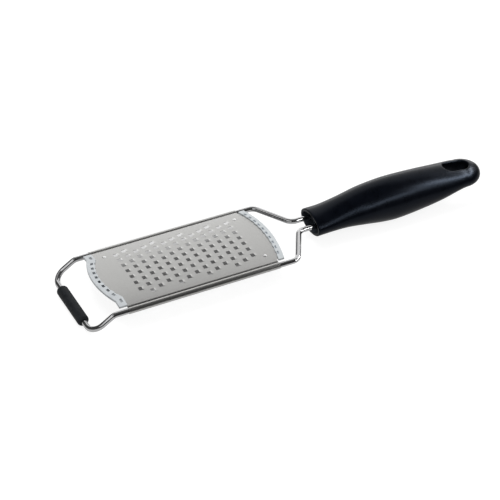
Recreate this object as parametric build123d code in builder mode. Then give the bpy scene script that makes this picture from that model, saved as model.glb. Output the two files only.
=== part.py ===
from build123d import *
import math
import os

os.makedirs("parts", exist_ok=True)

# Rasp zester: an arched blade of raised teeth, rolled round one bent wire, with a black handle.
# Millimetres. X runs from the tip to the handle and Z is up. The origin lies on the resting
# surface, under the middle of the whole length. A reach is a distance along X from the middle
# of the tooth pattern, so the tip lies at a negative X and the handle at a positive one.

# Wire frame: one rod with two rails, a dropped cross bar at the tip and two tangs
wire_diameter = 4.0
rail_spacing = 70.6
foot_bend_reach = 69.3
cross_bar_reach = 85.75
foot_drop = 10.5
rear_bend_reach = 71.7
tang_bend_reach = 87.6
tang_spacing = 12.0
tang_rise = 0.9
foot_bend_radius = 7.0
cross_bar_corner_radius = 9.5
rear_bend_radius = 7.0
tang_length_in_plug = 24.0

# Rubber sleeve on the cross bar, which is also the front foot
sleeve_diameter = 8.4
sleeve_length = 40.8
sleeve_end_bevel = 1.3
sleeve_clearance = 0.05

# Blade sheet, arched across its width and curled round both rails
blade_thickness = 0.3
arch_radius = 232.0
apex_over_rails = 4.5
shoulder_width = 3.3
curl_clearance = 0.03
curl_start_angle = 148.0
curl_wrap_angle = 318.0
curl_front_reach = 58.5
curl_rear_reach = 56.8

# Cutting pattern: one tooth behind each hole, every column a third of a pitch off the last
hole_pitch = 7.2
column_count = 13
full_row_count = 8
stagger_steps = 3
hole_length = 2.5
hole_width = 2.9
tooth_height = 0.7
tooth_run = 2.1
lip_thickness = 0.25

# Four small pips pressed up near the corners of the pattern
pip_reach = 51.0
pip_offset = 24.5
pip_length = 2.6
pip_width = 2.2
pip_top_length = 1.2
pip_top_width = 0.8
pip_height = 0.45

# End guards: plastic strips moulded over both ends of the sheet
guard_thickness = 2.0
guard_half_width = 32.1
guard_lip = 1.3
guard_root = 8.0
window_width = 1.8
window_length = 2.9
window_pitch = 5.7
lock_hole_width = 1.4

# Front guard: a straight lug at each side and a deep bow between them
front_lug_width = 6.5
front_outer_reach = 64.0
front_bow_depth = 5.9
front_lug_length = 6.2
front_inner_lug_width = 8.6
front_inner_bow_depth = 6.6
front_window_inset = 3.5
front_lug_window_inset = 4.0
front_bow_window_count = 8

# Rear guard: one shallow bow from side to side
rear_lug_width = 1.0
rear_outer_reach = 62.5
rear_bow_depth = 3.8
rear_lug_length = 4.6
rear_inner_bow_depth = 3.6
rear_window_inset = 3.6
rear_bow_window_count = 10

# Handle: an oval mouth that swells to a round belly and flattens to a domed tail
mouth_reach = 100.0
handle_length = 142.0
handle_width = 31.9
handle_height = 33.6
mouth_width = 28.9
mouth_height = 16.9
mouth_drop = 0.35
mouth_edge_bevel = 0.6
tail_width = 28.8
tail_height = 17.0
tail_lift = 3.1
tail_dome_length = 15.0

# Handle plug: the insert that grips the tangs, set back inside the mouth
plug_width = 24.2
plug_height = 12.3
plug_setback = 6.5
plug_length = 28.0
plug_clearance = 0.05
tang_clearance = 0.05

# Hanging hole through the flat tail
hang_hole_length = 21.0
hang_hole_width = 11.6
hang_hole_end_margin = 9.5

# Extra depth of every cutting tool beyond what it cuts
overrun = 5.0

# Sections of the handle between mouth and dome. Each row says how far along the body it lies,
# and how far its width, height and centre have gone from the mouth's to the belly's, or from
# the belly's to the tail's.
front_section_shares = (
    (0.095, -0.45, 0.08, 0.22),
    (0.205, -0.41, 0.31, 0.88),
    (0.331, 0.43, 0.67, 1.29),
    (0.440, 0.76, 0.93, 1.12),
)
belly_share = 0.540
rear_section_shares = (
    (0.709, 0.35, 0.19, 0.20),
    (0.835, 0.44, 0.49, 0.47),
    (0.961, 0.76, 0.92, 1.00),
)
front_step_count = 11
rear_step_count = 10
dome_turn = 80.0
dome_step_count = 8
dome_flatness = 0.84

# Places worked out from the sizes above
front_bow_reach = front_outer_reach + front_bow_depth
front_inner_reach = front_outer_reach - front_lug_length
front_inner_bow_reach = front_inner_reach + front_inner_bow_depth
rear_bow_reach = rear_outer_reach + rear_bow_depth
rear_inner_reach = rear_outer_reach - rear_lug_length
rear_inner_bow_reach = rear_inner_reach + rear_inner_bow_depth
wire_radius = wire_diameter / 2
rail_y = rail_spacing / 2
tang_y = tang_spacing / 2
foot_reach = cross_bar_reach + sleeve_diameter / 2
tail_reach = mouth_reach + handle_length
pattern_x = (foot_reach - tail_reach) / 2
cross_bar_z = sleeve_diameter / 2
rail_z = cross_bar_z + foot_drop
tang_z = rail_z + tang_rise
apex_z = rail_z + apex_over_rails
curl_radius = wire_radius + curl_clearance + blade_thickness / 2
below_sheet = rail_z - curl_radius - overrun
above_sheet = apex_z + guard_thickness + overrun
cut_depth = above_sheet - below_sheet


def toward_tip(reach):
    return pattern_x - reach


def toward_handle(reach):
    return pattern_x + reach


# Cross-section of the sheet: the arch, a tighter shoulder each side, and the curls.
# It is drawn with its local X across the blade and its local Y up.
arch_half_width = rail_y - shoulder_width
arch_half_angle = math.degrees(math.asin(arch_half_width / arch_radius))
arch_center_z = apex_z - blade_thickness / 2 - arch_radius
curl_start = math.radians(curl_start_angle)
crease = (
    rail_y + curl_radius * math.cos(curl_start),
    rail_z + curl_radius * math.sin(curl_start),
)

with BuildLine() as sheet_line:
    arch = CenterArc((0, arch_center_z), arch_radius, 90 - arch_half_angle, 2 * arch_half_angle)
    TangentArc(arch @ 0, crease, tangent=(arch % 0) * -1)
    mirror(sheet_line.edges().sort_by(Axis.X)[-1], about=Plane.YZ)

with BuildLine() as curl_line:
    CenterArc((rail_y, rail_z), curl_radius, curl_start_angle, -curl_wrap_angle)
    mirror(about=Plane.YZ)


# Region of one end of the sheet seen from above: straight lugs at both sides and a bow between.
# The place function turns a reach into an X.
def end_region(place, end_reach, bow_reach, half_width, lug_width, root_reach):
    bow_y = half_width - lug_width
    with BuildSketch() as region:
        with BuildLine():
            Polyline(
                (place(end_reach), -bow_y),
                (place(end_reach), -half_width),
                (place(root_reach), -half_width),
                (place(root_reach), half_width),
                (place(end_reach), half_width),
                (place(end_reach), bow_y),
            )
            ThreePointArc(
                (place(end_reach), bow_y),
                (place(bow_reach), 0),
                (place(end_reach), -bow_y),
            )
        make_face()
    return region.sketch


front_region = end_region(
    toward_tip,
    front_outer_reach,
    front_bow_reach,
    guard_half_width,
    front_lug_width,
    curl_front_reach - guard_root,
)
front_inner_region = end_region(
    toward_tip,
    front_inner_reach,
    front_inner_bow_reach,
    guard_half_width + overrun,
    front_inner_lug_width + overrun,
    curl_front_reach - guard_root - overrun,
)
rear_region = end_region(
    toward_handle,
    rear_outer_reach,
    rear_bow_reach,
    guard_half_width,
    rear_lug_width,
    curl_rear_reach - guard_root,
)
rear_inner_region = end_region(
    toward_handle,
    rear_inner_reach,
    rear_inner_bow_reach,
    guard_half_width + overrun,
    rear_lug_width + overrun,
    curl_rear_reach - guard_root - overrun,
)


# Places along a bow, a set distance inside it: the reach and the turn at each distance across
def bow_places(place, side, end_reach, bow_reach, half_chord, inset, offsets):
    sagitta = bow_reach - end_reach
    radius = (half_chord**2 + sagitta**2) / (2 * sagitta) - inset
    places = []
    for offset in offsets:
        reach = bow_reach - inset - radius + math.sqrt(radius**2 - offset**2)
        turn = side * math.degrees(math.asin(offset / radius))
        places.append(Location((place(reach), offset, 0), (0, 0, turn)))
    return places


def centred_steps(count, pitch):
    return [(step - (count - 1) / 2) * pitch for step in range(count)]


front_bow_half_chord = guard_half_width - front_lug_width
rear_bow_half_chord = guard_half_width - rear_lug_width
front_window_places = bow_places(
    toward_tip,
    -1,
    front_outer_reach,
    front_bow_reach,
    front_bow_half_chord,
    front_window_inset,
    centred_steps(front_bow_window_count, window_pitch),
)
for side in (-1, 1):
    lug_middle = side * (guard_half_width - front_lug_width / 2 - window_width / 2)
    lug_x = toward_tip(front_outer_reach - front_lug_window_inset)
    front_window_places.append(Location((lug_x, lug_middle, 0)))
rear_window_places = bow_places(
    toward_handle,
    1,
    rear_outer_reach,
    rear_bow_reach,
    rear_bow_half_chord,
    rear_window_inset,
    centred_steps(rear_bow_window_count, window_pitch),
)
front_lock_places = bow_places(
    toward_tip,
    -1,
    front_outer_reach,
    front_bow_reach,
    front_bow_half_chord,
    front_window_inset,
    centred_steps(front_bow_window_count // 2, 2 * window_pitch),
)
rear_lock_places = bow_places(
    toward_handle,
    1,
    rear_outer_reach,
    rear_bow_reach,
    rear_bow_half_chord,
    rear_window_inset,
    centred_steps(rear_bow_window_count // 2, 2 * window_pitch),
)


# Tooth pattern: distances are measured along the arch, and each place is tilted with it
def on_arch(x, arc_length, height=0):
    angle = arc_length / arch_radius
    radius = arch_radius + blade_thickness / 2 + height
    y = radius * math.sin(angle)
    z = arch_center_z + radius * math.cos(angle)
    return Location((x, y, z), (-math.degrees(angle), 0, 0))


hole_places = []
pattern_half_width = (full_row_count - 1) / 2 * hole_pitch
for column, column_reach in enumerate(centred_steps(column_count, hole_pitch)):
    stagger = (column + stagger_steps - 1) % stagger_steps / stagger_steps * hole_pitch
    for row_offset in centred_steps(full_row_count, hole_pitch):
        if row_offset + stagger <= pattern_half_width + hole_pitch / stagger_steps / 2:
            hole_places.append((toward_handle(column_reach), row_offset + stagger))

# One tooth: a lip as wide as its hole that rises from the hole's edge and slopes down to the
# sheet behind. It starts from the middle of the sheet.
with BuildPart() as tooth:
    with BuildSketch(Plane.XZ.offset(-hole_width / 2)):
        with BuildLine():
            Polyline(
                (hole_length / 2, -blade_thickness / 2),
                (hole_length / 2, tooth_height),
                (hole_length / 2 + lip_thickness, tooth_height),
                (hole_length / 2 + tooth_run, -blade_thickness / 2),
                close=True,
            )
        make_face()
    extrude(amount=hole_width)

# One pip: a low flat-topped bump. A wedge rises along its own Y, so it is turned to rise along Z.
with BuildPart() as pip:
    with Locations(Location((0, 0, -blade_thickness / 2), (90, 0, 0))):
        Wedge(
            pip_length,
            pip_height + blade_thickness / 2,
            pip_width,
            (pip_length - pip_top_length) / 2,
            (pip_width - pip_top_width) / 2,
            (pip_length + pip_top_length) / 2,
            (pip_width + pip_top_width) / 2,
            align=(Align.CENTER, Align.MIN, Align.CENTER),
        )

# Blade: the arched sheet cut to its outline, then the curls, holes, teeth and pips
with BuildPart() as blade:
    with BuildSketch(Plane.YZ.offset(toward_tip(front_bow_reach))):
        trace(sheet_line.line, line_width=blade_thickness)
    extrude(amount=front_bow_reach + rear_bow_reach)
    with BuildSketch(Plane.XY.offset(below_sheet)):
        with Locations(((toward_handle(curl_rear_reach) + toward_tip(curl_front_reach)) / 2, 0)):
            Rectangle(curl_front_reach + curl_rear_reach, rail_spacing)
        offset(front_region, amount=-guard_lip, mode=Mode.ADD)
        offset(rear_region, amount=-guard_lip, mode=Mode.ADD)
    extrude(amount=cut_depth, mode=Mode.INTERSECT)
    with BuildSketch(Plane.YZ.offset(toward_tip(curl_front_reach))):
        trace(curl_line.line, line_width=blade_thickness)
    extrude(amount=curl_front_reach + curl_rear_reach)
    with BuildSketch(Plane.XY.offset(below_sheet)):
        with Locations(*front_lock_places, *rear_lock_places):
            Rectangle(lock_hole_width, lock_hole_width)
    extrude(amount=cut_depth, mode=Mode.SUBTRACT)
    with Locations(*[on_arch(x, y) for x, y in hole_places]):
        Box(hole_length, hole_width, 2 * tooth_height, mode=Mode.SUBTRACT)
        add(tooth.part)
    pip_places = [(toward_handle(x), y) for x in (-pip_reach, pip_reach) for y in (-pip_offset, pip_offset)]
    with Locations(*[on_arch(x, y) for x, y in pip_places]):
        add(pip.part)
blade.part.label = "blade"
export_step(blade.part, "parts/blade.step")


# A guard wraps the end of the sheet above and below, and fills its lock holes
def make_guard(start_x, length, outer, inner, window_places):
    with BuildPart() as guard:
        with BuildSketch(Plane.YZ.offset(start_x)):
            trace(sheet_line.line, line_width=guard_thickness)
        extrude(amount=length)
        with BuildSketch(Plane.XY.offset(below_sheet)):
            add(outer)
            add(inner, mode=Mode.SUBTRACT)
        extrude(amount=cut_depth, mode=Mode.INTERSECT)
        with BuildSketch(Plane.XY.offset(below_sheet)):
            with Locations(*window_places):
                Rectangle(window_width, window_length)
        extrude(amount=cut_depth, mode=Mode.SUBTRACT)
        add(blade.part, mode=Mode.SUBTRACT)
    return guard.part


front_guard = make_guard(
    toward_tip(front_bow_reach),
    front_bow_reach - front_inner_reach,
    front_region,
    front_inner_region,
    front_window_places,
)
front_guard.label = "front_guard"
export_step(front_guard, "parts/front_guard.step")

rear_guard = make_guard(
    toward_handle(rear_inner_reach),
    rear_bow_reach - rear_inner_reach,
    rear_region,
    rear_inner_region,
    rear_window_places,
)
rear_guard.label = "rear_guard"
export_step(rear_guard, "parts/rear_guard.step")

# Wire frame: the bends are swept in one go, from one tang round to the other
plug_start_x = toward_handle(mouth_reach + plug_setback)
tang_end_x = plug_start_x + tang_length_in_plug
half_route = [
    (tang_end_x, tang_y, tang_z),
    (toward_handle(tang_bend_reach), tang_y, tang_z),
    (toward_handle(rear_bend_reach), rail_y, rail_z),
    (toward_tip(foot_bend_reach), rail_y, rail_z),
    (toward_tip(cross_bar_reach), rail_y, cross_bar_z),
]
mirrored_route = [(x, -y, z) for x, y, z in reversed(half_route)]
half_radii = [rear_bend_radius, rear_bend_radius, foot_bend_radius, cross_bar_corner_radius]

with BuildPart() as wire_frame:
    with BuildLine() as wire_path:
        FilletPolyline(*half_route, *mirrored_route, radius=half_radii + half_radii[::-1])
    with BuildSketch(Plane(origin=wire_path.line @ 0, z_dir=wire_path.line % 0)):
        Circle(wire_radius)
    sweep()
wire_frame.part.label = "wire_frame"
export_step(wire_frame.part, "parts/wire_frame.step")

# Foot sleeve: a soft tube with bevelled ends
with BuildPart() as foot_sleeve:
    with BuildSketch(Plane.XZ.offset(-sleeve_length / 2)):
        with Locations((toward_tip(cross_bar_reach), cross_bar_z)):
            Circle(sleeve_diameter / 2)
    extrude(amount=sleeve_length)
    chamfer(foot_sleeve.edges().filter_by(GeomType.CIRCLE), length=sleeve_end_bevel)
    with BuildSketch(Plane.XZ.offset(-sleeve_length / 2)):
        with Locations((toward_tip(cross_bar_reach), cross_bar_z)):
            Circle(wire_radius + sleeve_clearance)
    extrude(amount=sleeve_length, mode=Mode.SUBTRACT)
foot_sleeve.part.label = "foot_sleeve"
export_step(foot_sleeve.part, "parts/foot_sleeve.step")

# Handle plug: it fills the handle's socket behind the mouth and has a bore for each tang
mouth_x = toward_handle(mouth_reach)
mouth_z = tang_z - mouth_drop
with BuildPart() as handle_plug:
    with BuildSketch(Plane.YZ.offset(plug_start_x)):
        with Locations((0, mouth_z)):
            Ellipse(plug_width / 2, plug_height / 2)
    extrude(amount=plug_length)
    with BuildSketch(Plane.YZ.offset(plug_start_x)):
        with Locations((-tang_y, tang_z), (tang_y, tang_z)):
            Circle(wire_radius + tang_clearance)
    extrude(amount=tang_length_in_plug, mode=Mode.SUBTRACT)
handle_plug.part.label = "handle_plug"
export_step(handle_plug.part, "parts/handle_plug.step")

# Handle: sections from the mouth to the belly, on to the tail, then a dome that closes it
belly_z = handle_height / 2
tail_z = belly_z + tail_lift
body_length = handle_length - tail_dome_length


def between(start, end, share):
    return start + (end - start) * share


def shared_sections(rows, start, end):
    start_reach, start_width, start_height, start_center = start
    end_reach, end_width, end_height, end_center = end
    return [
        (
            length_share * body_length,
            between(start_width, end_width, width_share),
            between(start_height, end_height, height_share),
            between(start_center, end_center, center_share),
        )
        for length_share, width_share, height_share, center_share in rows
    ]


# A section between the given ones, on a smooth curve: each given section is passed at the
# slope from the one before it to the one after it
def section_at(sections, reach):
    index = max(i for i in range(len(sections) - 1) if sections[i][0] <= reach)
    start, end = sections[index], sections[index + 1]
    before = sections[max(index - 1, 0)]
    after = sections[min(index + 2, len(sections) - 1)]
    gap = end[0] - start[0]
    share = (reach - start[0]) / gap
    section = [reach]
    for column in range(1, len(start)):
        start_slope = (end[column] - before[column]) / (end[0] - before[0])
        end_slope = (after[column] - start[column]) / (after[0] - start[0])
        straight = between(start[column], end[column], share**2 * (3 - 2 * share))
        bend = share * (1 - share) * gap * ((1 - share) * start_slope - share * end_slope)
        section.append(straight + bend)
    return section


mouth = (0, mouth_width, mouth_height, mouth_z)
belly = (belly_share * body_length, handle_width, handle_height, belly_z)
tail = (body_length, tail_width, tail_height, tail_z)
given_sections = [
    mouth,
    *shared_sections(front_section_shares, mouth, belly),
    belly,
    *shared_sections(rear_section_shares, belly, tail),
    tail,
]
reaches = [belly[0] * step / front_step_count for step in range(front_step_count)]
reaches += [between(belly[0], body_length, step / rear_step_count) for step in range(rear_step_count)]
handle_sections = [section_at(given_sections, reach) for reach in reaches]
for step in range(dome_step_count + 1):
    turn = math.radians(dome_turn * step / dome_step_count)
    dome_share = math.sin(turn) / math.sin(math.radians(dome_turn))
    handle_sections.append(
        (
            body_length + dome_share * tail_dome_length,
            tail_width * math.cos(turn),
            tail_height * math.cos(turn) ** dome_flatness,
            tail_z,
        )
    )

with BuildPart() as handle:
    for reach_along, width, height, center_z in handle_sections:
        with BuildSketch(Plane.YZ.offset(mouth_x + reach_along)):
            with Locations((0, center_z)):
                Ellipse(width / 2, height / 2)
    loft(ruled=True)
    with BuildSketch(Plane.YZ.offset(mouth_x)):
        with Locations((0, mouth_z)):
            Ellipse(plug_width / 2 + plug_clearance, plug_height / 2 + plug_clearance)
    extrude(amount=plug_setback + plug_length, mode=Mode.SUBTRACT)
    chamfer(handle.faces().sort_by(Axis.X)[0].edges(), length=mouth_edge_bevel)
    hang_hole_x = toward_handle(tail_reach - hang_hole_end_margin - hang_hole_length / 2)
    with BuildSketch(Plane.XY):
        with Locations((hang_hole_x, 0)):
            SlotOverall(hang_hole_length, hang_hole_width)
    extrude(amount=handle_height + overrun, mode=Mode.SUBTRACT)
handle.part.label = "handle"
export_step(handle.part, "parts/handle.step")
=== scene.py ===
import math
import bmesh
import bpy
import numpy as np
from mathutils import Matrix, Vector


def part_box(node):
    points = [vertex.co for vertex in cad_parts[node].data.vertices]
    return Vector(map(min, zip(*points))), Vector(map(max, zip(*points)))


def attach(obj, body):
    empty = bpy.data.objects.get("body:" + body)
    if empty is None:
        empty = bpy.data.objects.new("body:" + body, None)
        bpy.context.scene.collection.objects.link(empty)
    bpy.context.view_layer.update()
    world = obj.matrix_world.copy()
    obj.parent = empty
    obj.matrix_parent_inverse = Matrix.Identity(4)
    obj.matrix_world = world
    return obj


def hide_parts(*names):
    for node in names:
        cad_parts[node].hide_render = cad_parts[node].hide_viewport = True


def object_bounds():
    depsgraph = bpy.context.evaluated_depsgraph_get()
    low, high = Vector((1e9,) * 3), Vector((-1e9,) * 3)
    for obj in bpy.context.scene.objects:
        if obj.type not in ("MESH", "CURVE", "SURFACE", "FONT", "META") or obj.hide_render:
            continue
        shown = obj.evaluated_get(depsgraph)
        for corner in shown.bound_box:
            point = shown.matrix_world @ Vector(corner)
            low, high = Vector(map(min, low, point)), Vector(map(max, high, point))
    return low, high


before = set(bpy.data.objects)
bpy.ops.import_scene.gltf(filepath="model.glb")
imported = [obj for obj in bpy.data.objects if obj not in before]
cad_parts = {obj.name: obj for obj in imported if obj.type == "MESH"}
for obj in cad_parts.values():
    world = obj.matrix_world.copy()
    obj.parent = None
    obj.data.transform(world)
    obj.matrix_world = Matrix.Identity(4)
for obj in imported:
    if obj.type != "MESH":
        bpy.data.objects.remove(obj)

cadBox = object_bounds()
mm = 0.001  # shapes are worked out in millimetres and made metres when their mesh is filled

# The tooth pattern's middle is the zero of every reach: the tip lies at a negative reach
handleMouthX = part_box("handle")[0].x / mm
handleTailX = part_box("handle")[1].x / mm
crossBarX = (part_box("foot_sleeve")[0].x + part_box("foot_sleeve")[1].x) / 2 / mm
place = {
    "patternX": handleMouthX - 100.0,  # the handle's mouth is at reach 100
    "apexZ": 19.2,
    "railY": 35.3,
    "railZ": 14.7,
    "tangZ": 15.6,
    "crossBarZ": 4.2,
}


def rowPoints(reach, y, z):
    # whole arrays of reach, y and z become points of the row frame, in millimetres
    reach, y, z = np.broadcast_arrays(reach, y, z)
    return np.stack([reach + place["patternX"], y, z], axis=-1)


def gridQuads(index, closeAround=False):
    # index is a table of vertex numbers: each cell of the table is one four-sided face
    if closeAround:
        index = np.concatenate([index, index[:, :1]], axis=1)
    return np.stack([index[:-1, :-1], index[1:, :-1], index[1:, 1:], index[:-1, 1:]], axis=-1).reshape(-1, 4)


def fanTriangles(ring, hub):
    # a ring of vertex numbers and one hub become a closing fan
    return np.stack([ring, np.roll(ring, -1), np.full(len(ring), hub)], axis=-1)


def addToScene(name, data):
    thing = bpy.data.objects.new(name, data)
    bpy.context.scene.collection.objects.link(thing)
    return thing


def makePiece(name, points, faceTables, replaces=(), sharpAngle=40.0, masks=None):
    mesh = bpy.data.meshes.new(name)
    faces = [face for table in faceTables for face in np.asarray(table).tolist()]
    mesh.from_pydata((np.asarray(points) * mm).tolist(), [], faces)
    for label, values in (masks or {}).items():
        mesh.attributes.new(label, "FLOAT", "POINT").data.foreach_set("value", values)
    work = bmesh.new()
    work.from_mesh(mesh)
    bmesh.ops.delete(work, geom=[v for v in work.verts if not v.link_faces], context="VERTS")
    bmesh.ops.recalc_face_normals(work, faces=work.faces)
    work.to_mesh(mesh)
    work.free()
    mesh.shade_smooth()
    mesh.set_sharp_from_angle(angle=math.radians(sharpAngle))
    piece = addToScene(name, mesh)
    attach(piece, "root")
    for node in replaces:
        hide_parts(node)
    print("piece", name, len(mesh.polygons), "faces")
    return piece


def closeShell(top, bottom, faces):
    # the faces of one side are repeated on the other, and every open edge gets a wall between them
    count = len(top)
    edges = np.concatenate([faces[:, [k, (k + 1) % 4]] for k in range(4)])
    keys = np.sort(edges, axis=1)
    first, uses = np.unique(keys, axis=0, return_index=True, return_counts=True)[1:]
    rim = edges[first[uses == 1]]
    walls = np.stack([rim[:, 1], rim[:, 0], rim[:, 0] + count, rim[:, 1] + count], axis=-1)
    return np.concatenate([top, bottom]), [faces, faces[:, ::-1] + count, walls]


blade = {
    "thickness": 0.3,
    "archRadius": 232.0,
    "archHalfWidth": 33.0,
    "curlRadius": 2.18,
    "curlStart": 145.0,
    "curlWrap": 318.0,
    "creaseEase": 0.2,
    "frontCurlReach": -58.5,
    "rearCurlReach": 56.8,
    "cell": 0.8,
    "tileCells": 9,
    "columns": 13,
    "rows": 8,
    "holeLength": 2.75,
    "holeWidth": 3.6,
    "holeCorner": 0.35,
    "lipHeight": 0.4,
    "lipRun": 1.7,
    "lipHalfWidth": 1.8,
    "lipLean": 0.0,
    "lipEdge": 0.1,
    # painted highlight: how strongly the raised lips are coloured brighter
    "lipGlint": 0.4,
    "pipReach": 51.0,
    "pipArc": 24.55,
    "pipRadius": 1.3,
    "pipHeight": 0.3,
    "lugHalfWidth": 30.9,
}

guards = {
    "front": {
        "name": "front_guard",
        "direction": -1,
        "outer": (25.6, 64.0, 69.9),
        "inner": (23.5, 57.8, 64.2),
        "windows": [-20.3, -14.5, -8.7, -2.9, 2.9, 8.7, 14.5, 20.3],
        "lugWindows": [-27.6, 27.6],
        # painted shade seen in each window pocket, one value per window
        "shades": [0.35, 0.8, 0.95, 1.0, 0.8, 0.75, 0.7, 0.7, 0.4, 0.45],
        "windowInset": 3.72,
        "windowWidth": 1.95,
        "windowLength": 2.9,
        "notch": 0.4,
    },
    "rear": {
        "name": "rear_guard",
        "direction": 1,
        "outer": (31.1, 62.5, 66.3),
        "inner": (31.1, 57.9, 61.5),
        "windows": [-25.65, -19.95, -14.25, -8.55, -2.85, 2.85, 8.55, 14.25, 19.95, 25.65],
        "lugWindows": [],
        # one painted shade for all the rear window pockets
        "shades": [1.0] * 10,
        "windowInset": 3.2,
        "windowWidth": 1.3,
        "windowLength": 2.9,
        "notch": 0.3,
    },
    "halfWidth": 32.1,
    "halfThickness": 1.0,
    "cornerRadius": 0.4,
    "windowDepth": 0.78,
    "windowWall": 0.12,
    "longestStep": 0.9,
    "lip": 1.3,
}


def bowReach(y, halfChord, endReach, bowReachMost):
    # a circular bow between two straight lugs, as a distance from the pattern's middle
    sagitta = bowReachMost - endReach
    radius = (halfChord**2 + sagitta**2) / (2 * sagitta)
    inside = np.minimum(np.abs(y), halfChord)
    return bowReachMost - radius + np.sqrt(radius**2 - inside**2)


def arcNumbers():
    # lengths along the cross-section: end of the arch, crease, and end of the curl
    b = blade
    archAngle = math.asin(b["archHalfWidth"] / b["archRadius"])
    archEnd = b["archRadius"] * archAngle
    centerZ = place["apexZ"] - b["thickness"] / 2 - b["archRadius"]
    start = np.array([b["archHalfWidth"], centerZ + b["archRadius"] * math.cos(archAngle)])
    turn = math.radians(b["curlStart"])
    rail = np.array([place["railY"], place["railZ"]])
    crease = rail + b["curlRadius"] * np.array([math.cos(turn), math.sin(turn)])
    chord = crease - start
    chordAngle = -math.atan2(chord[1], chord[0])
    shoulderTurn = 2 * (chordAngle - archAngle)
    shoulderRadius = np.linalg.norm(chord) / (2 * math.sin(shoulderTurn / 2))
    creaseAt = archEnd + shoulderRadius * shoulderTurn
    curlEnd = creaseAt + b["curlRadius"] * math.radians(b["curlWrap"])
    return archAngle, archEnd, centerZ, start, shoulderRadius, rail, crease, creaseAt, curlEnd


archAngle, archEnd, archCenterZ, shoulderStart, shoulderRadius, rail, crease, creaseAt, curlEnd = arcNumbers()


def plainSection(length):
    # the arch, then a tighter arc that meets it at a tangent, then a circle round the rail
    b = blade
    arch = length / b["archRadius"]
    shoulder = archAngle + (length - archEnd) / shoulderRadius
    curl = math.radians(b["curlStart"]) - (length - creaseAt) / b["curlRadius"]
    onArch, onShoulder = length <= archEnd, length <= creaseAt
    y = np.select(
        [onArch, onShoulder],
        [
            b["archRadius"] * np.sin(arch),
            shoulderStart[0] + shoulderRadius * (np.sin(shoulder) - math.sin(archAngle)),
        ],
        rail[0] + b["curlRadius"] * np.cos(curl),
    )
    z = np.select(
        [onArch, onShoulder],
        [
            archCenterZ + b["archRadius"] * np.cos(arch),
            shoulderStart[1] + shoulderRadius * (np.cos(shoulder) - math.cos(archAngle)),
        ],
        rail[1] + b["curlRadius"] * np.sin(curl),
    )
    normalY = np.select([onArch, onShoulder], [np.sin(arch), np.sin(shoulder)], np.cos(curl))
    normalZ = np.select([onArch, onShoulder], [np.cos(arch), np.cos(shoulder)], np.sin(curl))
    return y, z, normalY, normalZ


def sheetSection(arc):
    # the plain section with its crease eased by a quadratic curve, mirrored for negative lengths
    length, side = np.abs(arc), np.where(arc < 0, -1.0, 1.0)
    y, z, normalY, normalZ = plainSection(length)
    ease = blade["creaseEase"]
    ends = [np.array(plainSection(np.array([creaseAt + d]))[:2])[:, 0] for d in (-ease, ease)]
    t = np.clip((length - creaseAt + ease) / (2 * ease), 0, 1)
    near = (t > 0) & (t < 1)
    curveY = (1 - t) ** 2 * ends[0][0] + 2 * t * (1 - t) * crease[0] + t**2 * ends[1][0]
    curveZ = (1 - t) ** 2 * ends[0][1] + 2 * t * (1 - t) * crease[1] + t**2 * ends[1][1]
    slopeY = (1 - t) * (crease[0] - ends[0][0]) + t * (ends[1][0] - crease[0])
    slopeZ = (1 - t) * (crease[1] - ends[0][1]) + t * (ends[1][1] - crease[1])
    slope = np.hypot(slopeY, slopeZ)
    y, z = np.where(near, curveY, y), np.where(near, curveZ, z)
    normalY = np.where(near, -slopeZ / slope, normalY)
    normalZ = np.where(near, slopeY / slope, normalZ)
    return y * side, z, normalY * side, normalZ


def onSheet(reach, arc, lift):
    # a point a little above or below the middle of the sheet, along the sheet's own normal
    y, z, normalY, normalZ = sheetSection(arc)
    return rowPoints(reach, y + normalY * lift, z + normalZ * lift)


def lipShape(u, v):
    # highest at the hole's rear edge, falling off behind it in a soft ramp and to both sides
    b = blade
    rear = b["holeLength"] / 2
    behind = np.clip(1 - (u - rear) / b["lipRun"], 0, 1) ** 1.5
    ahead = np.clip((u - rear * 0.35) / (rear * 0.65), 0, 1)
    across = np.clip(1 - (np.abs(v) / b["lipHalfWidth"]) ** 3, 0, 1)
    return behind * ahead**2 * (3 - 2 * ahead) * across


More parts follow.
